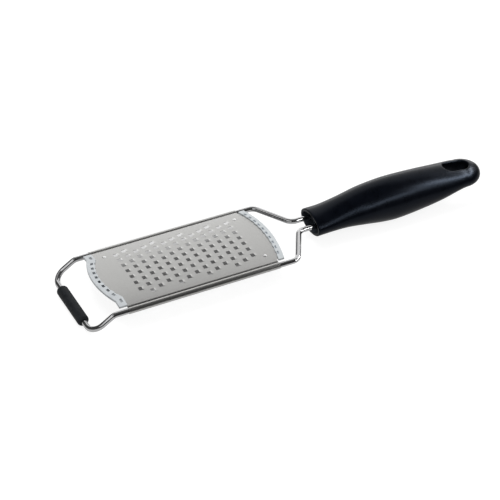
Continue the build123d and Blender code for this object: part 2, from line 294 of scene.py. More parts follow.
def buildBlade():
    b = blade
    cell, side = b["cell"], b["tileCells"]
    tile = cell * side
    half = tile * (b["columns"] + 2) / 2
    middleArcs = np.linspace(-tile * b["rows"] / 2, tile * b["rows"] / 2, side * b["rows"] + 1)
    table = np.linspace(0, creaseAt, 400)
    lugArc = float(np.interp(b["lugHalfWidth"], sheetSection(table)[0], table))
    outward = np.concatenate([
        np.linspace(middleArcs[-1], lugArc, 4)[1:],
        np.linspace(lugArc, creaseAt - b["creaseEase"], 5)[1:],
        creaseAt + b["creaseEase"] * np.linspace(-1, 1, 7)[1:],
        np.linspace(creaseAt + b["creaseEase"], curlEnd, 27)[1:],
    ])
    arcs = np.concatenate([-outward[::-1], middleArcs, outward])
    y = sheetSection(arcs)[0]
    frontEnd = -(bowReach(y, *guards["front"]["outer"]) - guards["lip"])
    rearEnd = bowReach(y, *guards["rear"]["outer"]) - guards["lip"]
    share = np.linspace(0, 1, 6)[:, None]
    lines = [
        frontEnd + (b["frontCurlReach"] - frontEnd) * share[:-1],
        np.repeat(np.linspace(b["frontCurlReach"], -half, 7)[:-1, None], len(arcs), axis=1),
        np.repeat(np.linspace(-half, half, side * (b["columns"] + 2) + 1)[:, None], len(arcs), axis=1),
        np.repeat(np.linspace(half, b["rearCurlReach"], 5)[1:, None], len(arcs), axis=1),
        b["rearCurlReach"] + (rearEnd - b["rearCurlReach"]) * share[1:],
    ]
    reach = np.concatenate(lines)
    firstCurl = len(lines[0])
    lastCurl = len(reach) - len(lines[4]) - 1
    firstTile = firstCurl + len(lines[1])
    row = np.arange(len(reach))[:, None]
    kept = (np.abs(arcs)[None, :] <= lugArc + 1e-6) | ((row >= firstCurl) & (row <= lastCurl))
    index = np.arange(reach.size).reshape(reach.shape)
    solid = kept[:-1, :-1] & kept[1:, :-1] & kept[1:, 1:] & kept[:-1, 1:]

    # where each tile starts: every column of holes is a third of a pitch off the last
    firstArc = len(outward)
    holes = []
    for column in range(b["columns"]):
        shift = (0, side // 3, 2 * side // 3)[(column + 2) % 3]
        shift = shift if shift < side // 2 else shift - side
        count = b["rows"] if shift == 0 else b["rows"] - 1
        start = shift if shift >= 0 else shift + side
        for step in range(count):
            holes.append((firstTile + side * (column + 1), firstArc + start + side * step))
    pipStart = int(round((b["pipArc"] - tile / 2 + middleArcs[-1]) / cell))
    pipFar, pipNear = firstArc + pipStart, firstArc + side * b["rows"] - pipStart - side
    pipLast = firstTile + side * (b["columns"] + 1)
    # three pips: the near place at the tip is left bare
    pips = [(firstTile, pipFar), (pipLast, pipFar), (pipLast, pipNear)]
    for i, j in holes + pips:
        solid[i:i + side, j:j + side] = False
    cells = gridQuads(index)[solid.ravel()]

    # the loop of cells round a tile, and the same loop drawn in to the hole's rounded edge
    steps = np.arange(side)
    loopI = np.concatenate([steps, np.full(side, side), side - steps, np.zeros(side, int)])
    loopJ = np.concatenate([np.zeros(side, int), steps, np.full(side, side), side - steps])
    outerU, outerV = (loopI - side / 2) * cell, (loopJ - side / 2) * cell
    rimU = outerU / (tile / 2) * b["holeLength"] / 2
    rimV = outerV / (tile / 2) * b["holeWidth"] / 2
    overU = np.clip(np.abs(rimU) - b["holeLength"] / 2 + b["holeCorner"], 0, None)
    overV = np.clip(np.abs(rimV) - b["holeWidth"] / 2 + b["holeCorner"], 0, None)
    pull = np.minimum(1, b["holeCorner"] / np.maximum(np.hypot(overU, overV), 1e-9))
    rimU = np.sign(rimU) * (np.abs(rimU) - overU * (1 - pull))
    rimV = np.sign(rimV) * (np.abs(rimV) - overV * (1 - pull))
    shares = np.array([0, 0.05, 0.13, 0.28, 0.55])[:, None]
    holeU, holeV = rimU + (outerU - rimU) * shares, rimV + (outerV - rimV) * shares
    holeLift = b["lipHeight"] * lipShape(holeU, holeV)

    # a pip is a low dome: rings that close on one point
    radii = b["pipRadius"] * np.array([0.25, 0.5, 0.72, 0.88, 1.0, 1.15])[:, None]
    around = np.arctan2(outerV, outerU)
    pipU, pipV = radii * np.cos(around), radii * np.sin(around)
    dome = np.clip(1 - (radii / b["pipRadius"]) ** 2, 0, 1) ** 0.8
    pipLift = b["pipHeight"] * dome + 0 * pipU

    tops, bottoms, faces, glintMasks, total = [], [], [cells], [], reach.size
    flat = np.zeros(reach.shape)
    tops.append(onSheet(reach, arcs[None, :], b["thickness"] / 2 + flat).reshape(-1, 3))
    bottoms.append(onSheet(reach, arcs[None, :], flat - b["thickness"] / 2).reshape(-1, 3))
    thin = b["thickness"] - b["lipEdge"]
    for starts, u, v, lift, lean, thinning, hub in (
        (holes, holeU, holeV, holeLift, b["lipLean"], thin, False),
        (pips, pipU, pipV, pipLift, 0.0, 0.0, True),
    ):
        starts = np.array(starts)
        middleU = reach[starts[:, 0], 0] + tile / 2
        middleV = arcs[starts[:, 1]] + tile / 2
        if hub:
            middleU = np.sign(middleU) * b["pipReach"]
            middleV = np.sign(middleV) * b["pipArc"]
        share = lift / lift.max()
        # painted highlight: pips wholly, and lips by their height, are coloured brighter
        glint = (share > 0.05) * 1.0 if hub else b["lipGlint"] * share**2
        glintMasks.append(np.broadcast_to(glint, (len(starts), *share.shape)).ravel())
        spotU = middleU[:, None, None] + (u - lean * share**2)[None]
        spotV = middleV[:, None, None] + v[None]
        height = np.broadcast_to(lift, spotU.shape)
        wall = b["thickness"] - thinning * np.broadcast_to(share, spotU.shape)
        tops.append(onSheet(spotU, spotV, b["thickness"] / 2 + height).reshape(-1, 3))
        bottoms.append(onSheet(spotU, spotV, b["thickness"] / 2 + height - wall).reshape(-1, 3))
        own = np.arange(spotU.size).reshape(spotU.shape) + total
        edge = index[starts[:, :1] + loopI[None], starts[:, 1:] + loopJ[None]]
        rings = np.concatenate([own, edge[:, None, :]], axis=1)
        rings = np.concatenate([rings, rings[:, :, :1]], axis=2)
        faces.append(np.stack(
            [rings[:, 1:, :-1], rings[:, 1:, 1:], rings[:, :-1, 1:], rings[:, :-1, :-1]], axis=-1
        ).reshape(-1, 4))
        total += spotU.size
        if hub:
            caps = own[:, 0, :]
            hubs = np.arange(len(starts)) + total
            for points, drop in ((tops, 0.0), (bottoms, b["thickness"])):
                points.append(onSheet(middleU, middleV, b["thickness"] / 2 + b["pipHeight"] - drop))
            pairs = caps.reshape(len(starts), -1, 2)
            after = np.roll(caps, -1, axis=1)[:, 1::2]
            centers = np.repeat(hubs[:, None], after.shape[1], 1)
            faces.append(np.stack([pairs[:, :, 0], pairs[:, :, 1], after, centers], axis=-1).reshape(-1, 4))
            glintMasks.append(np.ones(len(starts)))
            total += len(starts)
    # raised metal is painted brighter than the sheet round it: a painted highlight on the lips and pips
    paintedGlint = np.concatenate([np.zeros(reach.size), *glintMasks])
    points, tables = closeShell(np.concatenate(tops), np.concatenate(bottoms), np.concatenate(faces))
    masks = {"paintedGlint": np.concatenate([paintedGlint, 0 * paintedGlint])}
    return makePiece("rasp_blade", points, tables, ["blade"], 50.0, masks)


def buildGuard(spec):
    g = guards
    half, radius, wall = g["halfThickness"], g["cornerRadius"], g["windowWall"]

    # lines along the guard: a pair at each window's end makes a steep wall
    marks = [-g["halfWidth"] + radius, g["halfWidth"] - radius, -spec["outer"][0], spec["outer"][0]]
    for middle in spec["windows"] + spec["lugWindows"]:
        for side in (-1, 1):
            end = middle + side * spec["windowLength"] / 2
            marks += [end, end - side * wall, end - side * spec["windowLength"] / 4]
        marks.append(middle)
    marks = np.unique(np.round(marks, 4))
    counts = 1 + np.ceil(np.diff(marks) / g["longestStep"]).astype(int)
    extra = [np.linspace(a, b, n)[1:-1] for a, b, n in zip(marks[:-1], marks[1:], counts)]
    y = np.sort(np.concatenate([marks, *extra]))
    bend = np.linspace(0, math.pi / 2, 5)[1:]
    endShift = radius * np.sin(bend)
    endShrink = radius * (1 - np.cos(bend))
    y = np.concatenate([-(g["halfWidth"] - radius) - endShift[::-1], y, g["halfWidth"] - radius + endShift])
    shrink = np.concatenate([endShrink[::-1], np.zeros(len(y) - 2 * len(bend)), endShrink])

    # the two long edges as matching curves, and the distance between them
    outerReach = bowReach(y, *spec["outer"])
    scale = spec["inner"][0] / spec["outer"][0]
    lugShare = np.clip((np.abs(y) - spec["outer"][0]) / (g["halfWidth"] - spec["outer"][0]), 0, 1)
    innerY = np.sign(y) * np.where(
        np.abs(y) < spec["outer"][0],
        np.abs(y) * scale,
        spec["inner"][0] + (g["halfWidth"] - spec["inner"][0]) * lugShare,
    )
    fromWindow = np.abs(y[:, None] - np.array(spec["windows"])[None, :]).min(axis=1)
    besideWindow = fromWindow < spec["windowLength"] / 2 - wall / 2
    innerReach = bowReach(innerY, *spec["inner"]) + spec["notch"] * besideWindow
    width = np.hypot(outerReach - innerReach, y - innerY)

    # the closed section: rounded corners and, on top, a line at each side of the windows
    turns = np.linspace(0, math.pi / 2, 5)
    cornerInset, cornerHeight = radius * (1 - np.cos(turns)), half - radius + radius * np.sin(turns)
    thin = wall / spec["windowWidth"]
    across = np.array([-0.5, -0.5 + thin, 0, 0.5 - thin, 0.5])
    topInset = spec["windowInset"] + across * spec["windowWidth"]
    backInset, backHeight = cornerInset[::-1], cornerHeight[::-1]
    inset = np.concatenate([cornerInset, topInset, backInset, cornerInset, backInset])[None, :]
    height = np.concatenate([cornerHeight, np.full(5, half), backHeight, -cornerHeight, -backHeight])[None, :]
    fromInner = np.repeat([False, False, True, True, False], 5)[None, :]
    onTop = np.repeat([False, True, False, False, False], 5)[None, :]
    limited = inset + shrink[:, None]
    distance = np.where(fromInner, width[:, None] - limited, limited)
    lift = np.sign(height) * np.maximum(np.abs(height) - shrink[:, None], 0)

    # windows are pockets: the top sinks where a point is inside one, both along and across
    middles = np.array(spec["windows"] + spec["lugWindows"])
    fromMiddle = np.abs(y[:, None] - middles[None, :])
    # each window pocket gets its own painted shade
    windowShade = np.array(spec["shades"])[fromMiddle.argmin(axis=1)]
    inAlong = fromMiddle.min(axis=1) < spec["windowLength"] / 2 - wall / 2
    inAcross = np.abs(inset - spec["windowInset"]) < spec["windowWidth"] / 2 - wall / 2
    inWindow = inAlong[:, None] & inAcross & onTop
    lift = lift - g["windowDepth"] * inWindow

    share = distance / width[:, None]
    spotReach = outerReach[:, None] + (innerReach - outerReach)[:, None] * share
    spotY = y[:, None] + (innerY - y)[:, None] * share
    table = np.linspace(0, creaseAt, 600)
    arc = np.sign(spotY) * np.interp(np.abs(spotY), sheetSection(table)[0], table)
    points = onSheet(spec["direction"] * spotReach, arc, lift)
    index = np.arange(points[..., 0].size).reshape(points.shape[:2])
    ends = [points[0].mean(axis=0), points[-1].mean(axis=0)]
    count = index.size
    faces = [
        gridQuads(index, closeAround=True),
        fanTriangles(index[0], count),
        fanTriangles(index[-1], count + 1),
    ]
    points = np.concatenate([points.reshape(-1, 3), ends])
    # the pockets' painted shade, as a mask on the points
    windowPaintedShade = np.concatenate([(inWindow * windowShade[:, None]).ravel(), [0, 0]])
    return makePiece(
        "moulded_" + spec["name"], points, faces, [spec["name"]], 30.0, {"windowPaintedShade": windowPaintedShade}
    )


wire = {
    "radius": 2.0,
    "around": 48,
    "bendStep": 5.0,
    "tangEnd": 130.5,
    "tangBend": 87.6,
    "rearBend": 71.7,
    "footBend": -69.3,
    "crossBar": -85.75,
    "tangY": 6.0,
    "bendRadii": [7.0, 7.0, 7.0, 9.5],
}


def roundedPath(corners, radii, stepDegrees):
    # straight runs joined by arcs that touch both runs: the corner, less radius over sine, gives the centre
    stations = [corners[0]]
    for before, corner, after, radius in zip(corners[:-2], corners[1:-1], corners[2:], radii):
        inward = (before - corner) / np.linalg.norm(before - corner)
        outward = (after - corner) / np.linalg.norm(after - corner)
        turn = math.pi - math.acos(float(np.clip(inward @ outward, -1, 1)))
        bisector = (inward + outward) / np.linalg.norm(inward + outward)
        center = corner + bisector * radius / math.cos(turn / 2)
        first = corner + inward * radius * math.tan(turn / 2) - center
        last = corner + outward * radius * math.tan(turn / 2) - center
        share = np.linspace(0, 1, 2 + int(math.degrees(turn) / stepDegrees))[:, None]
        mix = (np.sin((1 - share) * turn) * first + np.sin(share * turn) * last) / math.sin(turn)
        stations.extend(center + mix)
    stations.append(corners[-1])
    return np.array(stations)


def tubeAlong(path, radius, around):
    # a circle carried along the path, square to it, with its first spoke kept level
    step = np.diff(path, axis=0)
    step /= np.linalg.norm(step, axis=1)[:, None]
    tangent = np.concatenate([step[:1], step[:-1] + step[1:], step[-1:]])
    tangent /= np.linalg.norm(tangent, axis=1)[:, None]
    level = np.cross(tangent, [0.0, 0.0, 1.0])
    level /= np.linalg.norm(level, axis=1)[:, None]
    upper = np.cross(level, tangent)
    turn = np.linspace(0, 2 * math.pi, around, endpoint=False)[None, :, None]
    ring = path[:, None] + radius * (np.cos(turn) * level[:, None] + np.sin(turn) * upper[:, None])
    index = np.arange(ring.shape[0] * around).reshape(-1, around)
    faces = [
        gridQuads(index, closeAround=True),
        fanTriangles(index[0], index.size),
        fanTriangles(index[-1], index.size + 1),
    ]
    return np.concatenate([ring.reshape(-1, 3), path[:1], path[-1:]]), faces


def buildWire():
    w = wire
    half = rowPoints(
        np.array([w["tangEnd"], w["tangBend"], w["rearBend"], w["footBend"], w["crossBar"]]),
        np.array([w["tangY"], w["tangY"], place["railY"], place["railY"], place["railY"]]),
        np.array([place["tangZ"], place["tangZ"], place["railZ"], place["railZ"], place["crossBarZ"]]),
    )
    corners = np.concatenate([half, half[::-1] * [1, -1, 1]])
    path = roundedPath(corners, w["bendRadii"] + w["bendRadii"][::-1], w["bendStep"])
    points, faces = tubeAlong(path, w["radius"], w["around"])
    return makePiece("bent_wire", points, faces, ["wire_frame"])


sleeve = {
    "radius": 4.2,
    "length": 40.8,
    "endRadius": 2.2,
    "bore": 2.05,
    "boreRing": 3.0,
    "mouth": 0.35,
    "around": 72,
}


def buildSleeve():
    # a half profile from one bore edge over the rounded end and along to the other, spun about the bar
    s = sleeve
    end = s["length"] / 2
    bend = np.linspace(0, math.pi / 2, 12)
    along = -end + s["endRadius"] * (1 - np.sin(bend))
    out = s["radius"] - s["endRadius"] * (1 - np.cos(bend))
    bore, mouth = s["bore"], s["mouth"]
    flare = [(-end + s["boreRing"], bore), (-end + mouth, bore), (-end, bore + mouth)]
    rest = np.linspace(-end + s["endRadius"], end - s["endRadius"], 14)[1:-1]
    profile = np.concatenate([
        flare,
        np.stack([along[::-1], out[::-1]], axis=-1),
        np.stack([rest, np.full(len(rest), s["radius"])], axis=-1),
        np.stack([-along, out], axis=-1),
        [(-a, b) for a, b in flare[::-1]],
    ])
    turn = np.linspace(0, 2 * math.pi, s["around"], endpoint=False)[None, :]
    y = profile[:, :1] + 0 * turn
    x = crossBarX + profile[:, 1:] * np.cos(turn)
    z = place["crossBarZ"] + profile[:, 1:] * np.sin(turn)
    index = np.arange(x.size).reshape(x.shape)
    index = np.concatenate([index, index[:1]])
    points = np.stack([x, y, z], axis=-1).reshape(-1, 3)
    faces = [gridQuads(index, closeAround=True)]
    return makePiece("rubber_foot_sleeve", points, faces, ["foot_sleeve"])


handle = {
    "length": 142.0,
    "dome": 15.0,
    "domeFlatness": 0.84,
    "mouthEdge": 0.7,
    "innerEdge": 0.5,
    "socketWidth": 24.3,
    "socketHeight": 12.4,
    "socketDepth": 34.5,
    "socketRings": [2.0, 4.0, 7.0, 14.0],
    "bodyRings": 104,
    "around": 96,
    "holeMiddle": 122.0,
    "holeStraight": 4.7,
    "holeHalfWidth": 5.8,
    "holeEdge": 1.3,
    "holeMargin": 1.6,
}
# distance from the mouth, half width, half height and height of the middle
handleSections = np.array([
    (0.0, 14.45, 8.45, 15.25),
    (12.1, 13.78, 9.12, 15.59),
    (26.0, 13.84, 11.04, 16.61),
    (42.0, 15.10, 14.04, 17.25),
    (55.9, 15.59, 16.22, 16.99),
    (68.6, 15.95, 16.80, 16.80),
    (90.0, 15.41, 15.22, 17.42),
    (106.0, 15.27, 12.73, 18.26),
    (122.0, 14.77, 9.16, 19.90),
    (127.0, 14.40, 8.50, 19.90),
])


def handleSize(x):
    # a smooth cubic through the sections, then an ellipse that closes the tail
    h, table = handle, handleSections
    body = np.clip(x, 0, table[-1, 0])
    k = np.clip(np.searchsorted(table[:, 0], body, side="right") - 1, 0, len(table) - 2)
    before, after = np.maximum(k - 1, 0), np.minimum(k + 2, len(table) - 1)
    gap = table[k + 1, 0] - table[k, 0]
    t = (body - table[k, 0]) / gap
    values = []
    for column in (1, 2, 3):
        v = table[:, column]
        slopeA = (v[k + 1] - v[before]) / (table[k + 1, 0] - table[before, 0])
        slopeB = (v[after] - v[k]) / (table[after, 0] - table[k, 0])
        straight = v[k] + (v[k + 1] - v[k]) * t**2 * (3 - 2 * t)
        values.append(straight + t * (1 - t) * gap * ((1 - t) * slopeA - t * slopeB))
    past = np.clip((x - (h["length"] - h["dome"])) / h["dome"], 0, 1)
    closing = np.sqrt(1 - past**2)
    return values[0] * closing, values[1] * closing ** h["domeFlatness"], values[2]


def slotOutline(turn, grow):
    # distance from the slot's middle to its edge in each direction: flat sides, round ends
    h = handle
    half = h["holeHalfWidth"] + grow
    c, s = np.abs(np.cos(turn)), np.abs(np.sin(turn))
    flat = half / np.maximum(s, 1e-9)
    straight = h["holeStraight"]
    endCap = straight * c + np.sqrt(np.maximum(half**2 - (straight * s) ** 2, 0))
    return np.where(flat * c <= straight, flat, endCap)


def buildHandle():
    h = handle
    bodyEnd = h["length"] - h["dome"]
    domeTurn = np.linspace(0, math.pi / 2, 22)[1:-1]
    body = np.linspace(h["mouthEdge"], bodyEnd, h["bodyRings"])
    along = np.concatenate([body, bodyEnd + h["dome"] * np.sin(domeTurn)])
    turn = np.linspace(0, 2 * math.pi, h["around"], endpoint=False)
    a, b, c = handleSize(along)
    y = a[:, None] * np.cos(turn)
    z = c[:, None] + b[:, None] * np.sin(turn)
    x = along[:, None] + 0 * turn
    skin = np.stack([x, y, z], axis=-1)
    index = np.arange(x.size).reshape(x.shape)
    wrapped = np.concatenate([index, index[:, :1]], axis=1)
    solid = np.ones((len(along) - 1, h["around"]), bool)

    # the hanging hole: a patch of cells at top and bottom is taken out, and rings join the two
    reach = h["holeStraight"] + h["holeHalfWidth"] + h["holeEdge"] + h["holeMargin"]
    i0 = int(np.searchsorted(along, h["holeMiddle"] - reach)) - 1
    i1 = int(np.searchsorted(along, h["holeMiddle"] + reach))
    spread = h["around"] // 8
    quarter = h["around"] // 4
    rows, columns = np.arange(i0, i1 + 1), np.arange(-spread, spread + 1)
    wide, tall = len(columns) - 1, len(rows) - 1
    loopI = np.concatenate([rows[:-1], np.full(wide, i1), rows[:0:-1], np.full(wide, i0)])
    loopC = np.concatenate([np.full(tall, -spread), columns[:-1], np.full(tall, spread), columns[:0:-1]])
    topLoop = index[loopI, (quarter + loopC) % h["around"]]
    bottomLoop = index[loopI, (3 * quarter - loopC) % h["around"]]
    for middle in (quarter, 3 * quarter):
        solid[i0:i1, middle - spread:middle + spread] = False
    edgeX = skin.reshape(-1, 3)[topLoop, 0] - h["holeMiddle"]
    edgeY = skin.reshape(-1, 3)[topLoop, 1]
    direction = np.arctan2(edgeY, edgeX)

    def skinHeight(px, py, side):
        a, b, c = handleSize(px)
        return c + side * b * np.sqrt(np.clip(1 - (py / a) ** 2, 0, 1))

    rings = []
    for side in (1, -1):
        part = []
        outer = slotOutline(direction, h["holeEdge"])
        for share in (0.66, 0.33):
            px = outer * np.cos(direction) + (edgeX - outer * np.cos(direction)) * share
            py = outer * np.sin(direction) + (edgeY - outer * np.sin(direction)) * share
            level = skinHeight(px + h["holeMiddle"], py, side)
            part.append(np.stack([px + h["holeMiddle"], py, level], axis=-1))
        for bend in np.linspace(0, math.pi / 2, 7):
            grow = h["holeEdge"] * (1 - math.sin(bend))
            drop = h["holeEdge"] * (1 - math.cos(bend))
            far = slotOutline(direction, grow)
            px, py = far * np.cos(direction), far * np.sin(direction)
            level = skinHeight(px + h["holeMiddle"], py, side) - side * drop
            part.append(np.stack([px + h["holeMiddle"], py, level], axis=-1))
        rings.append(part)
    top, bottom = rings
    walls = [top[-1] + (bottom[-1] - top[-1]) * share for share in (0.25, 0.5, 0.75)]
    tunnel = np.array(top + walls + bottom[::-1])
    start = x.size
    tunnelIndex = np.arange(tunnel.shape[0] * tunnel.shape[1]).reshape(tunnel.shape[:2]) + start
    tunnelIndex = np.concatenate([topLoop[None], tunnelIndex, bottomLoop[None]])

    # the mouth: round the outer edge, cross the flat rim, round the inner edge, run down the socket
    bend = np.linspace(0, math.pi / 2, 7)
    mouthA, mouthB, mouthC = (float(v) for v in handleSize(np.array(0.0)))
    outerDrop = h["mouthEdge"] * (1 - np.cos(bend))
    outerX = h["mouthEdge"] * (1 - np.sin(bend))
    socketA, socketB = h["socketWidth"] / 2, h["socketHeight"] / 2
    innerDrop = h["innerEdge"] * (1 - np.sin(bend))
    innerX = h["innerEdge"] * (1 - np.cos(bend))
    ringA = np.concatenate([mouthA - outerDrop[1:], socketA + innerDrop, [socketA] * 5])
    ringB = np.concatenate([mouthB - outerDrop[1:], socketB + innerDrop, [socketB] * 5])
    ringX = np.concatenate([outerX[1:], innerX, h["socketRings"], [h["socketDepth"]]])
    mouth = np.stack([
        ringX[:, None] + 0 * turn,
        ringA[:, None] * np.cos(turn),
        mouthC + ringB[:, None] * np.sin(turn),
    ], axis=-1)
    start += tunnel.shape[0] * tunnel.shape[1]
    mouthIndex = np.arange(mouth.shape[0] * mouth.shape[1]).reshape(mouth.shape[:2]) + start
    start += mouthIndex.size
    hubs = np.array([[h["socketDepth"], 0, mouthC], [h["length"], 0, c[-1]]])

    points = np.concatenate([skin.reshape(-1, 3), tunnel.reshape(-1, 3), mouth.reshape(-1, 3), hubs])
    points[:, 0] += handleMouthX
    faces = [
        gridQuads(wrapped)[solid.ravel()],
        gridQuads(tunnelIndex, closeAround=True),
        gridQuads(np.concatenate([index[:1], mouthIndex]), closeAround=True),
        fanTriangles(mouthIndex[-1], start),
        fanTriangles(index[-1], start + 1),
    ]
    # the recess in front of the plug is coloured paler than the grip: from the rim's inner edge inward
    recess = np.zeros(len(points))
    recess[mouthIndex[len(bend) - 1 + len(bend) // 2:].ravel()] = 1.0
    recess[start] = 1.0
    return makePiece("grip_handle", points, faces, ["handle"], 50.0, {"recess": recess})


def newGroup(name, inputs, outputs):
    # an empty shader group whose sockets all take or give a number
    group = bpy.data.node_groups.new(name, "ShaderNodeTree")
    for label, value in inputs.items():
        socket = group.interface.new_socket(label, in_out="INPUT", socket_type="NodeSocketFloat")
        socket.default_value = value
    for label in outputs:
        group.interface.new_socket(label, in_out="OUTPUT", socket_type="NodeSocketFloat")
    return group, group.nodes.new("NodeGroupInput"), group.nodes.new("NodeGroupOutput")


def addNode(tree, kind, **settings):
    node = tree.nodes.new(kind)
    for key, value in settings.items():
        setattr(node, key, value)
    return node


def mathNode(tree, operation, first, second):
    node = addNode(tree, "ShaderNodeMath", operation=operation)
    for socket, value in zip(node.inputs, (first, second)):
        if isinstance(value, (int, float)):
            socket.default_value = value
        else:
            tree.links.new(value, socket)
    return node.outputs[0]


def spreadRoughness(group, inputs, pattern):
    # the base roughness, a little more or less where the pattern is off its middle value
    around = mathNode(group, "SUBTRACT", pattern, 0.5)
    spread = mathNode(group, "MULTIPLY", around, inputs.outputs["Roughness Range"])
    return mathNode(group, "ADD", inputs.outputs["Base Roughness"], spread)


def makeGrainGroup():
    # fine moulded or blasted grain: two sizes of noise give a height, a tint mask and a roughness
    group, inputs, outputs = newGroup(
        "surfaceGrain",
        {"Fine Scale": 3000.0, "Broad Scale": 120.0, "Base Roughness": 0.4, "Roughness Range": 0.1},
        ["Height", "Patch", "Roughness"],
    )
    coords = addNode(group, "ShaderNodeTexCoord")
    fine = addNode(group, "ShaderNodeTexNoise")
    broad = addNode(group, "ShaderNodeTexNoise")
    fine.inputs["Detail"].default_value = 3.0
    broad.inputs["Detail"].default_value = 2.0
    for noise, label in ((fine, "Fine Scale"), (broad, "Broad Scale")):
        group.links.new(coords.outputs["Object"], noise.inputs["Vector"])
        group.links.new(inputs.outputs[label], noise.inputs["Scale"])
    halfFine = mathNode(group, "MULTIPLY", fine.outputs[0], 0.5)
    halfBroad = mathNode(group, "MULTIPLY", broad.outputs[0], 0.5)
    mixed = mathNode(group, "ADD", halfFine, halfBroad)
    rough = spreadRoughness(group, inputs, mixed)
    group.links.new(fine.outputs[0], outputs.inputs["Height"])
    group.links.new(broad.outputs[0], outputs.inputs["Patch"])
    group.links.new(rough, outputs.inputs["Roughness"])
    return group


def makeDrawnGroup():
    # drawn or rolled metal: noise stretched along one axis gives lines that run along the piece
    group, inputs, outputs = newGroup(
        "drawnLines",
        {"Line Scale": 900.0, "Stretch": 0.02, "Base Roughness": 0.3, "Roughness Range": 0.1},
        ["Height", "Lines", "Roughness"],
    )
    coords = addNode(group, "ShaderNodeTexCoord")
    split = addNode(group, "ShaderNodeSeparateXYZ")
    join = addNode(group, "ShaderNodeCombineXYZ")
    group.links.new(coords.outputs["Object"], split.inputs[0])
    drawn = mathNode(group, "MULTIPLY", split.outputs["X"], inputs.outputs["Stretch"])
    group.links.new(drawn, join.inputs["X"])
    group.links.new(split.outputs["Y"], join.inputs["Y"])
    group.links.new(split.outputs["Z"], join.inputs["Z"])
    lines = addNode(group, "ShaderNodeTexNoise")
    lines.inputs["Detail"].default_value = 4.0
    group.links.new(join.outputs[0], lines.inputs["Vector"])
    group.links.new(inputs.outputs["Line Scale"], lines.inputs["Scale"])
    rough = spreadRoughness(group, inputs, lines.outputs[0])
    group.links.new(lines.outputs[0], outputs.inputs["Height"])
    group.links.new(lines.outputs[0], outputs.inputs["Lines"])
    group.links.new(rough, outputs.inputs["Roughness"])
    return group


groups = {"grain": makeGrainGroup(), "drawn": makeDrawnGroup()}

finishes = {
    "bladeSteel": {
        "group": "drawn",
        "values": {
            "Line Scale": 5200.0, "Stretch": 0.12, "Base Roughness": 0.34, "Roughness Range": 0.08
        },
        "dark": (0.50, 0.498, 0.486),
        "light": (0.545, 0.543, 0.532),
        "bump": 0.000004,
        # painted highlight: raised lips and pips are mixed toward near white
        "mask": ("paintedGlint", (0.90, 0.90, 0.90)),
        "sockets": {"Metallic": 1.0},
    },
    "wireSteel": {
        "group": "drawn",
        "values": {
            "Line Scale": 1500.0, "Stretch": 0.05, "Base Roughness": 0.07, "Roughness Range": 0.04
        },
        "dark": (0.54, 0.54, 0.545),
        "light": (0.60, 0.60, 0.605),
        "bump": 0.000002,
        "sockets": {"Metallic": 1.0},
    },
    "iceGuard": {
        "group": "grain",
        "values": {
            "Fine Scale": 2500.0, "Broad Scale": 160.0, "Base Roughness": 0.30, "Roughness Range": 0.10
        },
        "dark": (0.575, 0.605, 0.625),
        "light": (0.635, 0.665, 0.685),
        "bump": 0.000006,
        # painted shade: the front window pockets are darkened toward near black
        "mask": ("windowPaintedShade", (0.035, 0.042, 0.055)),
        "sockets": {"IOR": 1.49},
    },
    "iceGuardRear": {
        "group": "grain",
        "values": {
            "Fine Scale": 2500.0, "Broad Scale": 160.0, "Base Roughness": 0.30, "Roughness Range": 0.10
        },
        "dark": (0.60, 0.635, 0.655),
        "light": (0.66, 0.695, 0.715),
        "bump": 0.000006,
        # painted shade: the rear window pockets are darkened toward mid grey
        "mask": ("windowPaintedShade", (0.42, 0.46, 0.50)),
        "sockets": {"IOR": 1.49},
    },
    "footRubber": {
        "group": "grain",
        "values": {
            "Fine Scale": 3600.0, "Broad Scale": 220.0, "Base Roughness": 0.62, "Roughness Range": 0.2
        },
        "dark": (0.012, 0.0135, 0.016),
        "light": (0.020, 0.0225, 0.026),
        "bump": 0.00003,
        "sockets": {"Specular IOR Level": 0.22},
    },
    "plugPlastic": {
        "group": "grain",
        "values": {
            "Fine Scale": 3000.0, "Broad Scale": 180.0, "Base Roughness": 0.42, "Roughness Range": 0.15
        },
        "dark": (0.066, 0.075, 0.090),
        "light": (0.088, 0.098, 0.116),
        "bump": 0.00001,
        "sockets": {"Specular IOR Level": 0.3},
    },
    "gripPlastic": {
        "group": "grain",
        "values": {
            "Fine Scale": 3800.0, "Broad Scale": 150.0, "Base Roughness": 0.28, "Roughness Range": 0.08
        },
        "dark": (0.0010, 0.0014, 0.0030),
        "light": (0.0020, 0.0026, 0.0050),
        "bump": 0.000010,
        "mask": ("recess", (0.045, 0.051, 0.062)),
        "sockets": {"Specular IOR Level": 0.13, "Specular Tint": (0.62, 0.76, 1.0, 1.0)},
    },
}


